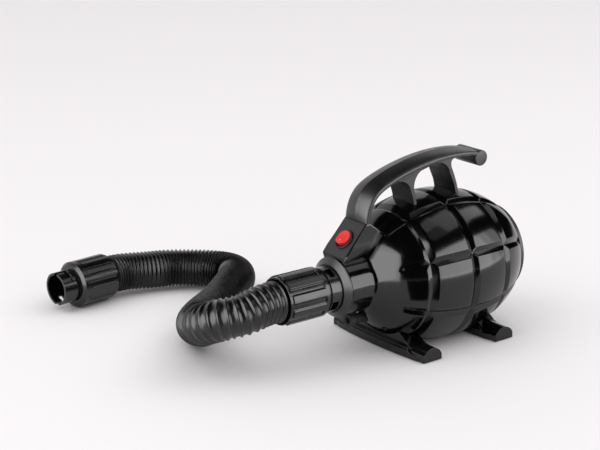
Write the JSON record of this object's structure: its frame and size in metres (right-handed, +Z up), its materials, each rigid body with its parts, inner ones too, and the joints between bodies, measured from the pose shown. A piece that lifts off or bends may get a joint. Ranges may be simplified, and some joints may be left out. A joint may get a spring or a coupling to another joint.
{
  "type": "car dryer blower",
  "caption": "Handheld barrel-shaped blower for drying cars, with a carrying handle, two foot bars, a rocker switch on a sloping plate, a bayonet cuff and a ribbed hose.",
  "frame": {"origin": "centre of the blower's footprint without its hose, on the floor the feet stand on", "axes": "+X from the outlet nozzle back to the air intake, +Y to the side the hose runs to, +Z up"},
  "size_m": [0.3927, 0.4193, 0.2042],
  "materials": {
    "body_black": "gloss",
    "collar_black": "satin",
    "satin_black": "satin",
    "switch_black": "gloss",
    "switch_red": "gloss",
    "foot_black": "gloss",
    "cuff_black": "satin",
    "hose_black": "satin",
    "rubber_black": "matte",
    "screw_steel": "satin",
    "foam_grey": "open foam",
    "pressed_aluminium": "pressed sheet",
    "motor_steel": "satin",
    "bearing_steel": "polished",
    "winding_copper": "varnished winding",
    "commutator_copper": "turned",
    "brass": "pressed",
    "carbon": "pressed carbon"
  },
  "bodies": {
    "body": {"housing_left": "body_black", "housing_right": "body_black", "outlet_collar": "collar_black", "collar_seal": "rubber_black", "switch_plate": "satin_black", "switch_body": "switch_black", "handle_left": "satin_black", "handle_right": "satin_black", "handle_screws": "screw_steel", "foot_front": "foot_black", "foot_rear": "foot_black", "foot_pads": "rubber_black", "foot_screws": "screw_steel", "housing_screws": "screw_steel", "cable_gland": "rubber_black", "rear_cover": "satin_black", "cover_screws": "screw_steel", "filter_foam": "foam_grey", "fan_casing": "pressed_aluminium", "fan_ring_mount": "rubber_black", "diffuser": "pressed_aluminium", "motor_can": "motor_steel", "motor_front_mount": "rubber_black", "front_bearing": "bearing_steel", "rear_bearing": "bearing_steel", "stator_core": "motor_steel", "field_coils": "winding_copper", "brush_holders": "brass", "carbon_brushes": "carbon", "hose": "hose_black", "outlet_cuff_sleeve": "cuff_black", "outlet_cuff_spigot": "cuff_black"},
    "rotor": {"motor_shaft": "bearing_steel", "armature": "winding_copper", "commutator": "commutator_copper", "impeller": "pressed_aluminium", "impeller_nut": "screw_steel"},
    "machine_cuff": {"machine_cuff_sleeve": "cuff_black", "machine_cuff_spigot": "cuff_black"},
    "rocker": {"switch_rocker": "switch_red"}
  },
  "joints": [
    {"name": "rocker_tilt", "type": "hinge", "parent": "body", "child": "rocker", "pos_m": [-0.09547, 0, 0.12653], "axis": [0, -1, 0], "range_deg": [0, 22]},
    {"name": "fan_spin", "type": "hinge", "parent": "body", "child": "rotor", "pos_m": [0, 0, 0.078], "axis": [1, 0, 0], "continuous": true},
    {"name": "machine_cuff_twist", "type": "hinge", "parent": "body", "child": "machine_cuff", "pos_m": [-0.134, 0, 0.078], "axis": [1, 0, 0], "range_deg": [0, 30]}
  ]
}
